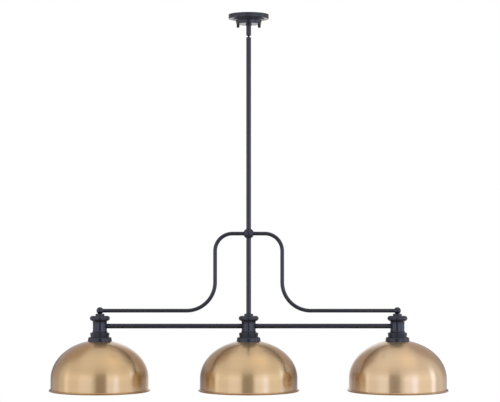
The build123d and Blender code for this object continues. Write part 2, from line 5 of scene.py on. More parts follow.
import bmesh
import bpy
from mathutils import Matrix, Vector


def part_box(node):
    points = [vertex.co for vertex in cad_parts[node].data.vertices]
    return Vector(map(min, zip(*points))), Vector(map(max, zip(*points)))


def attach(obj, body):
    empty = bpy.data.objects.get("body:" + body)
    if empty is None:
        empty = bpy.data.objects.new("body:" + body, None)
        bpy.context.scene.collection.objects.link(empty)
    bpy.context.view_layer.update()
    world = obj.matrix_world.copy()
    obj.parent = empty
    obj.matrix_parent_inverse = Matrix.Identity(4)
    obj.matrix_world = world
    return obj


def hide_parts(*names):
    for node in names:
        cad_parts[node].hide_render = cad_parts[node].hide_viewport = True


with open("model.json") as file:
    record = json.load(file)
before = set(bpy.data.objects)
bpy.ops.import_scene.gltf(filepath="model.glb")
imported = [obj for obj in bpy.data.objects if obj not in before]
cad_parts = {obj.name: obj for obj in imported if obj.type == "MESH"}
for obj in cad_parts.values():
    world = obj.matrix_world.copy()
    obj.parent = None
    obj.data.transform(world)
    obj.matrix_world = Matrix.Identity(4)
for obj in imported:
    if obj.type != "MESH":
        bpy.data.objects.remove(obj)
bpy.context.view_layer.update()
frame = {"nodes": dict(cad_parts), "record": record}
nodes = frame["nodes"]
MM = 0.001

# Where the columns stand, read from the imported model.
LAMPS = {}
for station in ("left", "centre", "right"):
    low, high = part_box(f"shade_{station}")
    LAMPS[station] = round((low.x + high.x) / 2, 6)

# Materials

# Painted light: each shade's brass tone is set to how brightly it is lit, paler from left to right for a
# stronger light from the right.
SHADE_LIT_TONES = {
    "left": ("#BF9F73", "#C3A47A"),
    "centre": ("#C1A277", "#C5A77E"),
    "right": ("#C7A984", "#CBAE8A"),
}
# Painted shade: the lower side of each shade's rolled bead gets a darker brown in place of shade and dark
# reflection.
BEAD_SHADE_TONE = "#946A3E"
BEAD_SHADE_HEIGHT = 5.2 * MM  # how far up the rolled bead the painted shade reaches
BEAD_SHADE_FADE = 0.8 * MM


def colour(code):
    """Turns an sRGB hex colour into the linear values that a shader reads."""
    values = [int(code[i:i + 2], 16) / 255 for i in (1, 3, 5)]
    return [v / 12.92 if v <= 0.04045 else ((v + 0.055) / 1.055) ** 2.4 for v in values] + [1.0]


def add(tree, kind, inputs=None, stops=(), **settings):
    """Adds a node: inputs are socket values or the outputs to link, stops are the places and colours of a
    colour ramp, and settings are the node's own choices."""
    node = tree.nodes.new("ShaderNode" + kind)
    for name, value in settings.items():
        setattr(node, name, value)
    for name, value in (inputs or {}).items():
        if isinstance(value, bpy.types.NodeSocket):
            tree.links.new(value, node.inputs[name])
        else:
            node.inputs[name].default_value = value
    for number, (place, code) in enumerate(stops):
        node.color_ramp.elements[number].position = place
        node.color_ramp.elements[number].color = colour(code)
    return node


def new_material(name):
    """An empty node material and its node tree."""
    material = bpy.data.materials.new(name)
    material.use_nodes = True
    material.node_tree.nodes.clear()
    return material, material.node_tree


def satin_black_powder_coat():
    """Baked polyester powder: a soft satin sheen over a fine orange peel, blue-black, not pure black."""
    dimple_size = 1.2 * MM
    dimple_depth = 0.04 * MM
    drift_size = 60 * MM
    material, tree = new_material("satin_black_powder_coat")
    place = add(tree, "TexCoord").outputs["Object"]
    peel = add(tree, "TexNoise", {"Vector": place, "Scale": 1 / dimple_size, "Detail": 2.0,
                                  "Roughness": 0.45})
    dimples = add(tree, "Bump", {"Height": peel.outputs["Fac"], "Strength": 0.06, "Distance": dimple_depth})
    # The film's thickness drifts along a piece, which shifts the tone by a hair.
    drift = add(tree, "TexNoise", {"Vector": place, "Scale": 1 / drift_size, "Detail": 3.0})
    tone = add(tree, "ValToRGB", {"Fac": drift.outputs["Fac"]}, [(0.3, "#161B26"), (0.7, "#1A202C")])
    gloss = add(tree, "MapRange", {"Value": peel.outputs["Fac"], "To Min": 0.17, "To Max": 0.22})
    coat = add(tree, "BsdfPrincipled", {
        "Base Color": tone.outputs["Color"], "Roughness": gloss.outputs["Result"],
        "Normal": dimples.outputs["Normal"], "IOR": 1.5, "Specular IOR Level": 0.55,
        "Specular Tint": colour("#EAEAFF")})
    add(tree, "OutputMaterial", {"Surface": coat.outputs["BSDF"]})
    return material


def spun_brushed_brass(station):
    """Spun brass, brushed on the lathe and lacquered: pale gold with hair lines that run round the shade."""
    # Real brush lines are 0.1 mm apart; they are drawn 1.1 mm apart so that they show.
    line_pitch = 1.1 * MM
    line_depth = 0.03 * MM
    band_pitch = 14 * MM
    cloud_size = 90 * MM
    # The shade's tone holds painted light: the right shade is paler because more light falls on it from the
    # right.
    dark, light = SHADE_LIT_TONES[station]
    # Top of the painted shade on the rolled bead.
    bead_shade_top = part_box(f"shade_{station}")[0].z + BEAD_SHADE_HEIGHT
    material, tree = new_material(f"spun_brushed_brass_{station}")
    place = add(tree, "TexCoord").outputs["Object"]
    centred = add(tree, "Mapping", {"Vector": place, "Location": (-LAMPS[station], 0, 0)}).outputs["Vector"]
    axes = add(tree, "SeparateXYZ", {"Vector": centred})
    flat = add(tree, "CombineXYZ", {"X": axes.outputs["X"], "Y": axes.outputs["Y"]})
    radius = add(tree, "VectorMath", {0: flat.outputs["Vector"]}, operation="LENGTH")
    # The way down the profile: it grows with the radius on the dome and with the drop on the skirt.
    run = add(tree, "Math", {0: radius.outputs["Value"], 1: axes.outputs["Z"]}, operation="SUBTRACT")
    lines = add(tree, "TexNoise", {"W": run.outputs["Value"], "Scale": 1 / line_pitch, "Detail": 4.0,
                                   "Roughness": 0.7}, noise_dimensions="1D")
    bands = add(tree, "TexNoise", {"W": run.outputs["Value"], "Scale": 1 / band_pitch, "Detail": 2.0},
                noise_dimensions="1D")
    cloud = add(tree, "TexNoise", {"Vector": centred, "Scale": 1 / cloud_size, "Detail": 2.0})
    grain = add(tree, "Mix", {"Factor": 0.45, "A": lines.outputs["Fac"], "B": bands.outputs["Fac"]})
    grain = add(tree, "Mix", {"Factor": 0.3, "A": grain.outputs["Result"], "B": cloud.outputs["Fac"]})
    brushed = add(tree, "ValToRGB", {"Fac": grain.outputs["Result"]}, [(0.3, dark), (0.7, light)])
    # The lower side of the rolled bead is painted darker: painted shade and dark reflection under the rim,
    # not the brass's own colour.
    above = add(tree, "MapRange", {"Value": axes.outputs["Z"], "From Min": bead_shade_top - BEAD_SHADE_FADE,
                                   "From Max": bead_shade_top})
    tone = add(tree, "Mix", {"Factor": above.outputs["Result"], "A": colour(BEAD_SHADE_TONE),
                             "B": brushed.outputs["Color"]}, data_type="RGBA")
    rough = add(tree, "MapRange", {"Value": lines.outputs["Fac"], "To Min": 0.26, "To Max": 0.32})
    scratch = add(tree, "Bump", {"Height": lines.outputs["Fac"], "Strength": 0.03, "Distance": line_depth})
    round_it = add(tree, "Tangent", direction_type="RADIAL", axis="Z")
    brass = add(tree, "BsdfPrincipled", {
        "Base Color": tone.outputs["Result"], "Metallic": 1.0, "Roughness": rough.outputs["Result"],
        "Normal": scratch.outputs["Normal"], "Tangent": round_it.outputs["Tangent"],
        "Anisotropic": 0.85, "Anisotropic Rotation": 0.25,
        "Coat Weight": 1.0, "Coat Roughness": 0.17, "Coat IOR": 1.5})
    add(tree, "OutputMaterial", {"Surface": brass.outputs["BSDF"]})
    return material


def zinc_plated_steel():
    """Zinc plate over rolled steel: a cool grey with a faint blotchy spangle and a dull shine."""
    spangle_size = 3.5 * MM
    cloud_size = 9 * MM
    material, tree = new_material("zinc_plated_steel")
    place = add(tree, "TexCoord").outputs["Object"]
    spangle = add(tree, "TexVoronoi", {"Vector": place, "Scale": 1 / spangle_size})
    cloud = add(tree, "TexNoise", {"Vector": place, "Scale": 1 / cloud_size, "Detail": 3.0})
    blotch = add(tree, "Mix", {"Factor": 0.6, "A": spangle.outputs["Distance"], "B": cloud.outputs["Fac"]})
    tone = add(tree, "ValToRGB", {"Fac": blotch.outputs["Result"]}, [(0.25, "#A6A8A8"), (0.75, "#C2C3C1")])
    rough = add(tree, "MapRange", {"Value": blotch.outputs["Result"], "To Min": 0.3, "To Max": 0.48})
    steel = add(tree, "BsdfPrincipled", {
        "Base Color": tone.outputs["Color"], "Metallic": 1.0, "Roughness": rough.outputs["Result"]})
    add(tree, "OutputMaterial", {"Surface": steel.outputs["BSDF"]})
    return material


def glazed_porcelain():
    """Fired porcelain under a clear glaze: warm white, a sharp gloss and a few iron specks."""
    speck_size = 1.6 * MM
    pool_size = 12 * MM
    pool_depth = 0.2 * MM
    material, tree = new_material("glazed_porcelain")
    place = add(tree, "TexCoord").outputs["Object"]
    specks = add(tree, "TexNoise", {"Vector": place, "Scale": 1 / speck_size, "Detail": 1.0})
    tone = add(tree, "ValToRGB", {"Fac": specks.outputs["Fac"]}, [(0.2, "#CFC8B8"), (0.32, "#ECE8DD")])
    pooling = add(tree, "TexNoise", {"Vector": place, "Scale": 1 / pool_size, "Detail": 1.0})
    waves = add(tree, "Bump", {"Height": pooling.outputs["Fac"], "Strength": 0.15, "Distance": pool_depth})
    rough = add(tree, "MapRange", {"Value": pooling.outputs["Fac"], "To Min": 0.1, "To Max": 0.18})
    glaze = add(tree, "BsdfPrincipled", {
        "Base Color": tone.outputs["Color"], "Roughness": rough.outputs["Result"],
        "Normal": waves.outputs["Normal"], "IOR": 1.52, "Coat Weight": 0.4, "Coat Roughness": 0.06})
    add(tree, "OutputMaterial", {"Surface": glaze.outputs["BSDF"]})
    return material


def pressed_bright_brass():
    """Thin pressed brass strip: yellow and bright, a little tarnished where fingers and lamps rub."""
    tarnish_size = 7 * MM
    material, tree = new_material("pressed_bright_brass")
    place = add(tree, "TexCoord").outputs["Object"]
    tarnish = add(tree, "TexNoise", {"Vector": place, "Scale": 1 / tarnish_size, "Detail": 4.0})
    tone = add(tree, "ValToRGB", {"Fac": tarnish.outputs["Fac"]}, [(0.35, "#C79A4E"), (0.65, "#E2BE74")])
    rough = add(tree, "MapRange", {"Value": tarnish.outputs["Fac"], "To Min": 0.34, "To Max": 0.2})
    brass = add(tree, "BsdfPrincipled", {
        "Base Color": tone.outputs["Color"], "Metallic": 1.0, "Roughness": rough.outputs["Result"]})
    add(tree, "OutputMaterial", {"Surface": brass.outputs["BSDF"]})
    return material


def green_dyed_zinc():
    """Zinc plate dyed green, the finish of a ground screw: a clear green over a metal shine."""
    cloud_size = 2.5 * MM
    material, tree = new_material("green_dyed_zinc")
    place = add(tree, "TexCoord").outputs["Object"]
    cloud = add(tree, "TexNoise", {"Vector": place, "Scale": 1 / cloud_size, "Detail": 3.0})
    tone = add(tree, "ValToRGB", {"Fac": cloud.outputs["Fac"]}, [(0.3, "#1B6B39"), (0.7, "#2F8E52")])
    rough = add(tree, "MapRange", {"Value": cloud.outputs["Fac"], "To Min": 0.26, "To Max": 0.4})
    dye = add(tree, "BsdfPrincipled", {
        "Base Color": tone.outputs["Color"], "Metallic": 0.85, "Roughness": rough.outputs["Result"]})
    add(tree, "OutputMaterial", {"Surface": dye.outputs["BSDF"]})
    return material


finishes = {
    "black_coat": satin_black_powder_coat(),
    "zinc_steel": zinc_plated_steel(),
    "porcelain": glazed_porcelain(),
    "contact_brass": pressed_bright_brass(),
    "green_screw": green_dyed_zinc(),
}
node_slots = {}
for part in frame["record"]["subparts"]:
    finish = part["material_slot"]
    node_slots[part["node"]] = finish
    skin = nodes[part["node"]].data.materials
    skin.clear()
    if finish != "brushed_brass":
        skin.append(finishes[finish])
for station in LAMPS:
    nodes[f"shade_{station}"].data.materials.append(spun_brushed_brass(station))

# Hardware

HAIR = 0.001 * MM  # points closer than this are one
NEAR = 0.02 * MM  # slack when an edge or face is looked for at a place
ROUND_STEPS = 3  # faces across a rounded edge
UPRIGHT = 0.5  # a face stands upright where its normal rises by less than this
SCREW_ROOM = 0.05 * MM  # radial room in a screwed joint
INCH = 25.4 * MM


def open_piece(name):
    """Names the shape just added, puts its place in its mesh and opens it with nothing picked."""
    piece = bpy.context.object
    piece.name = name
    piece.data.name = name
    bpy.ops.object.transform_apply(location=True, rotation=True, scale=True)
    bpy.ops.object.mode_set(mode="EDIT")
    bpy.ops.mesh.select_mode(type="VERT")
    bpy.ops.mesh.select_all(action="DESELECT")
    return piece


def close_piece(crease):
    """Leaves edit mode and rounds the shading over edges that turn by less than the crease, in degrees."""
    bpy.ops.object.mode_set(mode="OBJECT")
    bpy.ops.object.shade_smooth_by_angle(angle=math.radians(crease))


def pick_faces(piece, test):
    """Picks the faces of the open piece whose middle and normal pass a test."""
    bpy.ops.mesh.select_mode(type="FACE")
    bpy.ops.mesh.select_all(action="DESELECT")
    mesh = bmesh.from_edit_mesh(piece.data)
    for face in mesh.faces:
        face.select_set(test(face.calc_center_median(), face.normal))
    bmesh.update_edit_mesh(piece.data)


def pick_edges(piece, test):
    """Picks the edges of the open piece whose two ends pass a test."""
    bpy.ops.mesh.select_mode(type="EDGE")
    bpy.ops.mesh.select_all(action="DESELECT")
    mesh = bmesh.from_edit_mesh(piece.data)
    for edge in mesh.edges:
        edge.select_set(test([end.co for end in edge.verts]))
    bmesh.update_edit_mesh(piece.data)


def pick_rings(piece, x, places):
    """Picks the level rings of edges that stand at one of the (radius, height) places round the axis at x."""
    def stand_at(ends, place):
        return all(math.dist((math.hypot(end.x - x, end.y), end.z), place) < NEAR for end in ends)

    pick_edges(piece, lambda ends: any(stand_at(ends, place) for place in places))


def heal(reach=HAIR):
    """Joins points of the open piece that lie within reach of each other and turns its faces outwards."""
    bpy.ops.mesh.select_all(action="SELECT")
    bpy.ops.mesh.remove_doubles(threshold=reach)
    bpy.ops.mesh.normals_make_consistent(inside=False)


def cap_ring(piece, x, place):
    """Closes an open end with a flat face."""
    pick_rings(piece, x, [place])
    bpy.ops.mesh.edge_face_add()


def saw(place, normal, fill):
    """Saws off all of the open piece that lies in front of a plane."""
    bpy.ops.mesh.select_all(action="SELECT")
    bpy.ops.mesh.bisect(plane_co=place, plane_no=normal, use_fill=fill, clear_outer=True, threshold=HAIR)


def draw_out(x, line):
    """Draws the picked ring out about the axis at x, from the first (radius, height) point to the last."""
    radius, height = line[0]
    for next_radius, next_height in line[1:]:
        bpy.ops.mesh.extrude_region_move(TRANSFORM_OT_translate={"value": (0, 0, next_height - height)})
        scale = next_radius / radius
        bpy.ops.transform.resize(value=(scale, scale, 1), center_override=(x, 0, next_height))
        radius, height = next_radius, next_height


def turned(name, x, line, segments):
    """Lathe work about the upright axis at x: a ring drawn along a line of (radius, height) points."""
    bpy.ops.object.select_all(action="DESELECT")
    radius, height = line[0]
    bpy.ops.mesh.primitive_circle_add(vertices=segments, radius=radius, location=(x, 0, height))
    piece = open_piece(name)
    bpy.ops.mesh.select_all(action="SELECT")
    draw_out(x, line)
    heal()
    return piece


def wound(name, x, height, line, pitch, turns, steps):
    """A thread about the upright axis at x: one pitch of (radius, rise) points wound up from a height."""
    bpy.ops.object.select_all(action="DESELECT")
    bpy.ops.mesh.primitive_plane_add(size=MM)
    piece = open_piece(name)
    bpy.ops.mesh.select_all(action="SELECT")
    bpy.ops.mesh.merge(type="CENTER")
    radius, rise = line[0]
    bpy.ops.transform.translate(value=(radius, 0, rise))
    for next_radius, next_rise in line[1:]:
        move = (next_radius - radius, 0, next_rise - rise)
        bpy.ops.mesh.extrude_vertices_move(TRANSFORM_OT_translate={"value": move})
        radius, rise = next_radius, next_rise
    bpy.ops.object.mode_set(mode="OBJECT")
    screw = piece.modifiers.new("screw", "SCREW")
    screw.axis = "Z"
    screw.screw_offset = pitch
    screw.iterations = turns
    screw.steps = steps
    screw.render_steps = steps
    bpy.ops.object.modifier_apply(modifier="screw")
    piece.location = (x, 0, height)
    open_piece(name)
    heal()
    return piece


def copy_to(piece, name, shift):
    """A copy with its own mesh, moved in its mesh."""
    bpy.ops.object.select_all(action="DESELECT")
    piece.select_set(True)
    bpy.context.view_layer.objects.active = piece
    bpy.ops.object.duplicate(linked=False)
    twin = bpy.context.object
    twin.name = name
    twin.data.name = name
    bpy.ops.transform.translate(value=shift)
    bpy.ops.object.transform_apply(location=True, rotation=True, scale=True)
    return twin


def merge_pieces(pieces):
    """Makes one piece of several."""
    bpy.ops.object.select_all(action="DESELECT")
    for piece in pieces:
        piece.select_set(True)
    bpy.context.view_layer.objects.active = pieces[0]
    bpy.ops.object.join()
    return pieces[0]


def fit(piece, node, body):
    """Puts a finished piece in its node's stead, in the node's finish."""
    piece.data.materials.clear()
    piece.data.materials.append(finishes[node_slots[node]])
    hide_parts(node)
    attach(piece, body)


def fit_at_lamps(piece, name, node):
    """Fits a piece made for the left lamp, and its copies at the other lamps."""
    for station, place in LAMPS.items():
        if station == "left":
            each = piece
        else:
            each = copy_to(piece, f"{name}_{station}", (place - LAMPS["left"], 0, 0))
        fit(each, f"{node}_{station}", "light")


# Thumb nuts: a straight knurl between two plain bands, a dished end and the stud's blind hole.
KNURL_RIDGES = 96
KNURL_BAND = 2.2 * MM
KNURL_DEPTH = 0.22 * MM
KNURL_CREST = 0.06 * MM
KNURL_CREASE = 28
NUT_EDGE = 0.7 * MM
NUT_CAP = 2.0 * MM
NUT_DISH_RIM = 1.3 * MM
NUT_DISH_DEPTH = 0.5 * MM
low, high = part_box("canopy_studs")
stud = (high.y - low.y) / 2
stud_x = high.x - stud
low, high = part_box("canopy_nut_left")
radius = (high.x - low.x) / 2
middle = (low.z + high.z) / 2
bpy.ops.object.select_all(action="DESELECT")
bpy.ops.mesh.primitive_cylinder_add(vertices=KNURL_RIDGES, radius=radius, depth=high.z - low.z,
                                    location=(-stud_x, 0, middle))
nut = open_piece("thumb_nut_left")
for height in (low.z + KNURL_BAND, high.z - KNURL_BAND):
    bpy.ops.mesh.select_all(action="SELECT")
    bpy.ops.mesh.bisect(plane_co=(0, 0, height), plane_no=(0, 0, 1), threshold=HAIR)
pick_rings(nut, -stud_x, [(radius, low.z), (radius, high.z)])
bpy.ops.mesh.bevel(offset=NUT_EDGE, segments=ROUND_STEPS)
pick_faces(nut, lambda spot, normal: abs(spot.z - middle) < NEAR)
bpy.ops.mesh.inset(thickness=KNURL_CREST, depth=-KNURL_DEPTH, use_individual=True)
pick_faces(nut, lambda spot, normal: spot.z < low.z + NEAR)
bpy.ops.mesh.inset(thickness=NUT_DISH_RIM)
bpy.ops.mesh.inset(thickness=NUT_DISH_RIM / 2, depth=-NUT_DISH_DEPTH)
pick_faces(nut, lambda spot, normal: spot.z > high.z - NEAR)
bpy.ops.mesh.inset(thickness=radius - NUT_EDGE - stud)
depth = high.z - low.z - NUT_CAP
bpy.ops.mesh.extrude_region_move(TRANSFORM_OT_translate={"value": (0, 0, -depth)})
heal()
close_piece(KNURL_CREASE)
nut_right = copy_to(nut, "thumb_nut_right", (2 * stud_x, 0, 0))
fit(nut, "canopy_nut_left", "left_thumb_nut")
fit(nut_right, "canopy_nut_right", "right_thumb_nut")

# Studs: 8-32 thread from end to end, wound a little too long and sawn to length.
STUD_PITCH = INCH / 32
STUD_THREAD = 0.42 * MM
STUD_CREST = (0.42 * STUD_PITCH, 0.56 * STUD_PITCH)  # where the flat of the crest starts and ends
STUD_ROOT = 0.96 * STUD_PITCH  # where the flat of the root starts
STUD_SPARE = 2  # turns past each end
STUD_STEPS = 20
STUD_CREASE = 40
low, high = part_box("canopy_studs")
root = stud - STUD_THREAD
ridge = [(root, 0), (stud, STUD_CREST[0]), (stud, STUD_CREST[1]), (root, STUD_ROOT), (root, STUD_PITCH)]
turns = math.ceil((high.z - low.z) / STUD_PITCH) + 2 * STUD_SPARE
rod = wound("threaded_studs", -stud_x, low.z - STUD_SPARE * STUD_PITCH, ridge, STUD_PITCH, turns, STUD_STEPS)
saw((0, 0, low.z), (0, 0, -1), True)
saw((0, 0, high.z), (0, 0, 1), True)
heal()
close_piece(STUD_CREASE)
fit(merge_pieces([rod, copy_to(rod, "stud_twin", (2 * stud_x, 0, 0))]), "canopy_studs", "ceiling_mount")

# Hex nuts: turned blanks with coned corners, from which six flats are sawn.
HEX_SEGMENTS = 72
HEX_CREASE = 25
HEX_CONE = 0.62  # the cone's height for each millimetre that a corner stands past the flats
HEX_FACE = 0.97  # the round end face's share of the width over the flats


def hex_nut(name, x, low, high, flats, bore):
    """A nut about the upright axis at x, with two of its flats square to Y."""
    corner = flats / 2 / math.cos(math.radians(30))
    cone = (corner - flats / 2) * HEX_CONE
    face = flats / 2 * HEX_FACE
    line = [(bore, low), (face, low), (corner, low + cone), (corner, high - cone), (face, high), (bore, high),
            (bore, low)]
    nut = turned(name, x, line, HEX_SEGMENTS)
    for side in range(6):
        turn = math.radians(30 + 60 * side)
        away = Vector((math.cos(turn), math.sin(turn), 0))
        saw(Vector((x, 0, 0)) + away * flats / 2, away, True)
    heal()
    close_piece(HEX_CREASE)
    return nut


low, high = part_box("stud_nuts")
lock_nut = hex_nut("stud_lock_nuts", -stud_x, low.z, high.z, high.y - low.y, stud + SCREW_ROOM)
lock_nut = merge_pieces([lock_nut, copy_to(lock_nut, "lock_nut_twin", (2 * stud_x, 0, 0))])
fit(lock_nut, "stud_nuts", "ceiling_mount")
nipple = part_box("swivel_nipple")[1].x
low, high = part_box("swivel_nut")
swivel_nut = hex_nut("swivel_lock_nut", 0, low.z, high.z, high.y - low.y, nipple + SCREW_ROOM)
fit(swivel_nut, "swivel_nut", "ceiling_mount")

# Ground screw: a pan head with a driver slot under the strap, its shank flush on top.
PAN_EDGE = 0.9 * MM
PAN_SEGMENTS = 48
PAN_CREASE = 30
SLOT_WIDTH = 1.1 * MM
SLOT_DEPTH = 1.2 * MM
low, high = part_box("ground_screw")
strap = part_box("crossbar")[0].z
x = (low.x + high.x) / 2
head = (high.x - low.x) / 2
line = [(stud, high.z), (stud, strap), (head, strap), (head, low.z + PAN_EDGE), (head - PAN_EDGE, low.z)]
screw = turned("slotted_ground_screw", x, line, PAN_SEGMENTS)
cap_ring(screw, x, line[0])
cap_ring(screw, x, line[-1])
heal()
close_piece(PAN_CREASE)
# The blade that cuts the slot is half again as long as the head is wide.
bpy.ops.object.select_all(action="DESELECT")
bpy.ops.mesh.primitive_cube_add(size=1, location=(x, 0, low.z), scale=(3 * head, SLOT_WIDTH, 2 * SLOT_DEPTH))
blade = bpy.context.object
bpy.context.view_layer.objects.active = screw
slot = screw.modifiers.new("slot", "BOOLEAN")
slot.operation = "DIFFERENCE"
slot.object = blade
bpy.ops.object.modifier_apply(modifier="slot")
bpy.data.objects.remove(blade)
fit(screw, "ground_screw", "ceiling_mount")

# Shade rings: a flange with finger notches round its edge over a threaded collar.
RING_FLANGE = 2.0 * MM
RING_COLLAR = 2.6 * MM
RING_EDGE = 0.5 * MM
RING_NOTCHES = 96
RING_CREASE = 30
NOTCH_LAND = 0.22 * MM
NOTCH_DEPTH = 0.45 * MM
holder_low, holder_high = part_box("lampholder_left")
x = LAMPS["left"]
barrel = (holder_high.x - holder_low.x) / 2
low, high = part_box("shade_ring_left")
flange = (high.x - low.x) / 2
bore = barrel + SCREW_ROOM
collar = bore + RING_COLLAR
under = high.z - RING_FLANGE
line = [(bore, high.z), (flange, high.z), (flange, under), (collar, under), (collar, low.z + RING_EDGE),
        (collar - RING_EDGE, low.z), (bore + RING_EDGE, low.z), (bore, low.z + RING_EDGE), (bore, high.z)]
ring = turned("notched_shade_ring_left", x, line, RING_NOTCHES)
pick_faces(ring, lambda spot, normal: (math.hypot(spot.x - x, spot.y) > flange - RING_EDGE
                                       and abs(normal.z) < UPRIGHT))
bpy.ops.mesh.inset(thickness=NOTCH_LAND, depth=-NOTCH_DEPTH, use_individual=True)
close_piece(RING_CREASE)
fit_at_lamps(ring, "notched_shade_ring", "shade_ring")

# Screw shells: brass strip rolled to the lamp's round thread, 7 threads an inch, sawn to length and closed by
# a coned back.
LAMP_PITCH = INCH / 7
LAMP_THREAD = 0.6 * MM
LAMP_TURNS = 8
SHELL_SHEET = 0.3 * MM
SHELL_BACK = 3.2 * MM
SHELL_CONE = 1.6 * MM
SHELL_HOLE = 7.0 * MM
SHELL_STEPS = 48
SHELL_CREASE = 50
WAVE_STEPS = 10
low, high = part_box("screw_shell_left")
outer = (high.x - low.x) / 2
middle = outer - LAMP_THREAD / 2
wave = [(middle + LAMP_THREAD / 2 * math.cos(2 * math.pi * i / WAVE_STEPS), LAMP_PITCH * i / WAVE_STEPS)
        for i in range(WAVE_STEPS + 1)]
shell = wound("rolled_screw_shell_left", x, low.z - LAMP_PITCH, wave, LAMP_PITCH, LAMP_TURNS, SHELL_STEPS)
neck = high.z - SHELL_BACK
saw((0, 0, low.z), (0, 0, -1), False)
saw((0, 0, neck), (0, 0, 1), False)
heal(NEAR)
pick_edges(shell, lambda ends: all(abs(end.z - neck) < NEAR for end in ends))
draw_out(x, [(outer, neck), (outer, high.z - SHELL_CONE), (outer - SHELL_CONE, high.z), (SHELL_HOLE, high.z)])
heal()
bpy.ops.object.mode_set(mode="OBJECT")
sheet = shell.modifiers.new("sheet", "SOLIDIFY")
sheet.thickness = SHELL_SHEET
sheet.offset = -1
bpy.ops.object.modifier_apply(modifier="sheet")
bpy.ops.object.shade_smooth_by_angle(angle=math.radians(SHELL_CREASE))
fit_at_lamps(shell, "rolled_screw_shell", "screw_shell")

# Lampholders: slip-cast porcelain with soft edges, and a coarse thread up the barrel for the ring.
BOSS_RADIUS = 9.0 * MM
BOSS_HEIGHT = 8.0 * MM
BOSS_BORE = 5.15 * MM
SHOULDER = 7.0 * MM
LIP_HEIGHT = 6.0 * MM
LIP_SLOPE = 1.0 * MM
WELL_DEPTH = 26.0 * MM
WELL_ROOM = 0.05 * MM
SOFT_EDGE = 0.9 * MM
HOLDER_SEGMENTS = 72
HOLDER_CREASE = 35
RING_PITCH = 3.2 * MM
RING_THREAD = 0.65 * MM
RING_CREST = (0.32 * RING_PITCH, 0.5 * RING_PITCH)  # where the flat of the crest starts and ends
RING_ROOT = 0.82 * RING_PITCH  # where the ridge ends
RING_STEPS = 48
low, high = holder_low, holder_high
boss = high.z - BOSS_HEIGHT
shoulder = boss - SHOULDER
lip = low.z + LIP_HEIGHT
root = barrel - RING_THREAD
socket = outer + WELL_ROOM
soft_edges = [(BOSS_RADIUS, high.z), (BOSS_RADIUS, boss), (root, shoulder), (barrel, lip), (barrel, low.z),
              (socket, low.z)]
line = [(BOSS_BORE, boss), (BOSS_BORE, high.z), *soft_edges[:3], (root, lip + LIP_SLOPE), *soft_edges[3:],
        (socket, low.z + WELL_DEPTH)]
holder = turned("porcelain_lampholder_left", x, line, HOLDER_SEGMENTS)
pick_rings(holder, x, soft_edges)
bpy.ops.mesh.bevel(offset=SOFT_EDGE, segments=ROUND_STEPS)
cap_ring(holder, x, line[0])
cap_ring(holder, x, line[-1])
heal()
close_piece(HOLDER_CREASE)
thread_foot = lip + LIP_SLOPE + RING_PITCH / 2
sunk = root - SCREW_ROOM
ridge = [(sunk, 0), (barrel, RING_CREST[0]), (barrel, RING_CREST[1]), (sunk, RING_ROOT), (sunk, 0)]
turns = int((shoulder - thread_foot) / RING_PITCH)
thread = wound("barrel_thread", x, thread_foot, ridge, RING_PITCH, turns, RING_STEPS)
bpy.ops.mesh.fill_holes(sides=len(ridge) - 1)
heal()
close_piece(HOLDER_CREASE)
fit_at_lamps(merge_pieces([holder, thread]), "porcelain_lampholder", "lampholder")

# Studio

AIM = Vector((0, 0, -1.05))  # among the columns: what the cards and lamps are turned to
# What the brass reflects. Each card has a name, the azimuth and elevation in degrees at which it stands (0 is
# the camera's side), its distance, width and height in metres, its colour, its level and its soft edge.
CARDS = [
    ("flag_left_rear", -138, 24, 6.0, 9.0, 11.0, "#B2A8A6", 1.14, 0.5),
    ("flag_left_side", -112, 6, 6.2, 3.4, 9.0, "#C6BCB6", 1.14, 0.9),
    ("flag_right_rear", 146, 24, 6.0, 8.0, 11.0, "#B8AAA2", 1.14, 0.6),
    ("flag_behind", 180, 52, 5.0, 3.8, 4.4, "#E8D6C6", 1.12, 0.9),
    ("flag_upper_left", -126, 44, 3.4, 4.0, 2.6, "#C8B4A0", 1.0, 0.8),
    ("low_left_rear", -134, -6, 1.1, 1.1, 0.6, "#868084", 1.0, 0.7),
    ("low_right_rear", 138, -6, 1.0, 1.0, 0.56, "#868084", 1.0, 0.7),
    ("panel_above", 0, 72, 5.4, 10.0, 5.6, "#FFFFFF", 1.18, 0.4),
    ("panel_right", 62, 66, 5.0, 4.6, 4.6, "#FFF3E4", 1.5, 1.0),
    ("wall_left", -50, -4, 7.2, 10.0, 7.4, "#FFFFFF", 1.36, 0.4),
    ("wall_right", 50, -4, 7.2, 10.0, 7.4, "#FFFFFF", 1.5, 0.4),
    ("flag_camera", -2.3, 1, 2.7, 1.34, 2.2, "#ABA6A1", 1.0, 0.15),
    ("glow_right", 30, -5, 6.6, 5.2, 6.4, "#E8EEFF", 2.15, 0.5),
    ("glow_right_core", 40, -5, 6.4, 2.2, 5.2, "#CBDCFF", 3.5, 0.8),
    ("glow_left", -32, -5, 6.6, 5.2, 6.4, "#ECF1FF", 1.98, 0.6),
    ("strip_left", -80, 2, 5.6, 1.6, 4.4, "#FFFFFF", 1.9, 0.9),
    ("strip_right", 87, 4, 5.6, 1.9, 5.6, "#D8E4FF", 3.4, 0.9),
]
# What lights the object: name, azimuth, elevation, distance, width, height and level, as above.
SOFTBOXES = [
    ("side_left", -92, 10, 4.0, 0.8, 3.0, 1.6),
    ("side_right", 92, 10, 4.0, 0.8, 3.0, 1.6),
    ("key_right", 38, 20, 4.0, 1.2, 2.2, 1.3),
    ("fill_left", -38, 20, 4.0, 1.2, 2.2, 1.1),
]
FLOOR_SIZE = 120
FLOOR_DROP = 2.4  # below the ceiling
SHEET_REACH = 3.4  # the matt sheet starts to fade this far from the ceiling's middle
WHITE_REACH = 6.5  # and all is white from here
SKY_LIGHT = 0.7  # how much of the white surround falls on the object as light
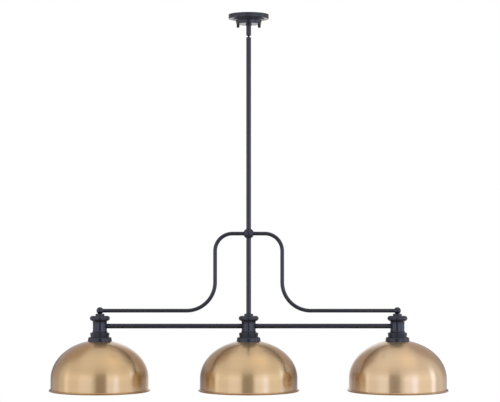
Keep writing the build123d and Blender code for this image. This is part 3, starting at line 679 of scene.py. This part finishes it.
# The camera, in metres and radians: it stands square to the bars, below the ceiling, and looks up a little.
CAMERA_PLACE = (0.00444, -5.5, -0.7798)
CAMERA_TILT = 0.0302
PHOTO_WIDTH = 500  # pixels
FOCAL_PIXELS = 1676.6  # focal length in the same pixels
SENSOR_WIDTH = 36
CAMERA_REACH = 300


def facing(azimuth, elevation, distance):
    """The place and the turn of something that stands round the light and looks at it."""
    around = math.radians(azimuth)
    up = math.radians(elevation)
    away = Vector((math.sin(around) * math.cos(up), -math.cos(around) * math.cos(up), math.sin(up)))
    return AIM + away * distance, away.to_track_quat("Z", "Y").to_euler()


def seen_rays(tree):
    """1 for rays that show a thing to the eye, straight or by gloss and glass, and 0 for rays that light."""
    rays = add(tree, "LightPath")
    seen = rays.outputs["Is Camera Ray"]
    for other in ("Is Glossy Ray", "Is Transmission Ray"):
        seen = add(tree, "Math", {0: seen, 1: rays.outputs[other]}, operation="MAXIMUM").outputs["Value"]
    return seen


def card(name, azimuth, elevation, distance, width, height, shade, level, feather):
    """A card that only gloss and metal see; feather is the soft share of its half width."""
    place, turn = facing(azimuth, elevation, distance)
    bpy.ops.object.select_all(action="DESELECT")
    bpy.ops.mesh.primitive_plane_add(size=1, location=place)
    sheet = bpy.context.object
    sheet.name = name
    sheet.rotation_euler = turn
    sheet.scale = (width, height, 1)
    bpy.ops.object.transform_apply(location=True, rotation=True, scale=True)
    material, tree = new_material(name)
    spot = add(tree, "SeparateXYZ", {"Vector": add(tree, "TexCoord").outputs["UV"]})
    edges = []
    for axis in ("X", "Y"):
        offset = add(tree, "Math", {0: spot.outputs[axis], 1: 0.5}, operation="SUBTRACT")
        reach = add(tree, "Math", {0: offset.outputs["Value"]}, operation="ABSOLUTE")
        edge = add(tree, "MapRange", {"Value": reach.outputs["Value"], "From Min": 0.5 - feather / 2,
                                      "From Max": 0.5, "To Min": 1.0, "To Max": 0.0},
                   interpolation_type="SMOOTHSTEP")
        edges.append(edge.outputs["Result"])
    mask = add(tree, "Math", {0: edges[0], 1: edges[1]}, operation="MULTIPLY")
    clear = add(tree, "BsdfTransparent")
    glow = add(tree, "Emission", {"Color": colour(shade), "Strength": level})
    mixed = add(tree, "MixShader", {0: mask.outputs["Value"], 1: clear.outputs["BSDF"],
                                    2: glow.outputs["Emission"]})
    add(tree, "OutputMaterial", {"Surface": mixed.outputs["Shader"]})
    sheet.data.materials.append(material)
    sheet.visible_camera = False
    sheet.visible_diffuse = False
    sheet.visible_shadow = False


def softbox(name, azimuth, elevation, distance, width, height, level):
    """An area lamp turned to the light: level is how bright its face is. The cards stand for it in gloss."""
    place, turn = facing(azimuth, elevation, distance)
    bpy.ops.object.light_add(type="AREA", location=place)
    lamp = bpy.context.object
    lamp.name = name
    lamp.rotation_euler = turn
    lamp.data.shape = "RECTANGLE"
    lamp.data.size = width
    lamp.data.size_y = height
    lamp.data.energy = level * math.pi * width * height
    lamp.visible_glossy = False


def pale_floor():
    """Matt paper: a pale sheet that takes the shadow near the light, plain white further out, so that no
    horizon shows, and clear from below."""
    material, tree = new_material("pale_floor")
    place = add(tree, "TexCoord").outputs["Object"]
    reach = add(tree, "VectorMath", {0: place}, operation="LENGTH")
    far = add(tree, "MapRange", {"Value": reach.outputs["Value"], "From Min": SHEET_REACH,
                                 "From Max": WHITE_REACH}, interpolation_type="SMOOTHSTEP")
    whiten = add(tree, "Math", {0: seen_rays(tree), 1: far.outputs["Result"]}, operation="MULTIPLY")
    matt = add(tree, "BsdfDiffuse", {"Color": colour("#E4E3E0")})
    white = add(tree, "Emission", {"Color": colour("#FFFFFF"), "Strength": 1.0})
    upper = add(tree, "MixShader", {0: whiten.outputs["Value"], 1: matt.outputs["BSDF"],
                                    2: white.outputs["Emission"]})
    side = add(tree, "NewGeometry")
    clear = add(tree, "BsdfTransparent")
    one_sided = add(tree, "MixShader", {0: side.outputs["Backfacing"], 1: upper.outputs["Shader"],
                                        2: clear.outputs["BSDF"]})
    add(tree, "OutputMaterial", {"Surface": one_sided.outputs["Shader"]})
    return material


for row in CARDS:
    card(*row)

bpy.ops.object.select_all(action="DESELECT")
bpy.ops.mesh.primitive_plane_add(size=FLOOR_SIZE, location=(0, 0, -FLOOR_DROP))
floor = bpy.context.object
floor.name = "floor"
bpy.ops.object.transform_apply(location=True, rotation=True, scale=True)
floor.data.materials.append(pale_floor())

world = bpy.data.worlds.new("studio")
bpy.context.scene.world = world
world.use_nodes = True
tree = world.node_tree
tree.nodes.clear()
level = add(tree, "MapRange", {"Value": seen_rays(tree), "To Min": SKY_LIGHT, "To Max": 1.0})
sky = add(tree, "Background", {"Color": colour("#FFFFFF"), "Strength": level.outputs["Result"]})
add(tree, "OutputWorld", {"Surface": sky.outputs["Background"]})

for row in SOFTBOXES:
    softbox(*row)

bpy.ops.object.camera_add(location=CAMERA_PLACE, rotation=(math.pi / 2 + CAMERA_TILT, 0, 0))
camera = bpy.context.object
camera.name = "camera"
camera.data.sensor_width = SENSOR_WIDTH
camera.data.lens = SENSOR_WIDTH * FOCAL_PIXELS / PHOTO_WIDTH
camera.data.clip_end = CAMERA_REACH
bpy.context.scene.camera = camera
bpy.context.scene.view_settings.view_transform = "Standard"
